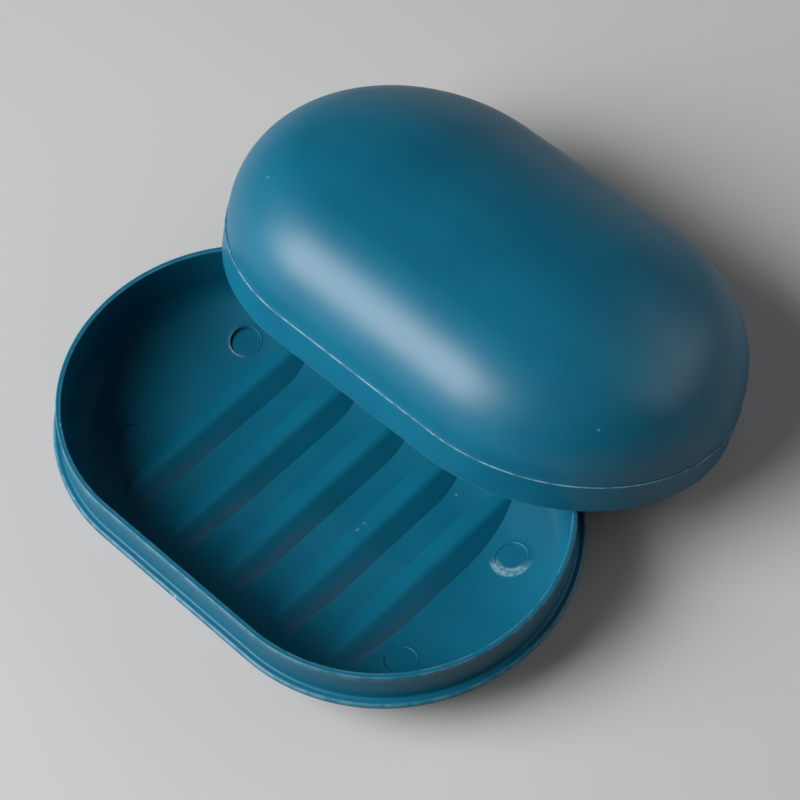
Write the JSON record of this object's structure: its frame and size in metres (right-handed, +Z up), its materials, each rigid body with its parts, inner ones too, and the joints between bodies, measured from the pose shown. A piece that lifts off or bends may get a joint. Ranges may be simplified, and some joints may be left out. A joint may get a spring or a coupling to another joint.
{
  "type": "travel soap box",
  "caption": "Two-piece moulded travel soap box: an oblong round-ended tray with cross ribs for the soap and a plug rim, and a domed lift-off lid that leans on it, open.",
  "frame": {"origin": "middle of the base tray's underside, on the surface it stands on", "axes": "+Z up, +X along the tray's long side, +Y across it towards the lid that leans on its back"},
  "size_m": [0.1207, 0.1288, 0.0473],
  "materials": {
    "tray_plastic": "satin moulded polypropylene, peacock blue",
    "lid_plastic": "satin moulded polypropylene, peacock blue"
  },
  "bodies": {
    "base": {"base_tray": "tray_plastic"},
    "lid": {"lid": "lid_plastic"}
  },
  "joints": [
    {"name": "lid_lift", "type": "slide", "parent": "base", "child": "lid", "axis": [0, 0, 1], "range_m": [0, 0.06]}
  ]
}
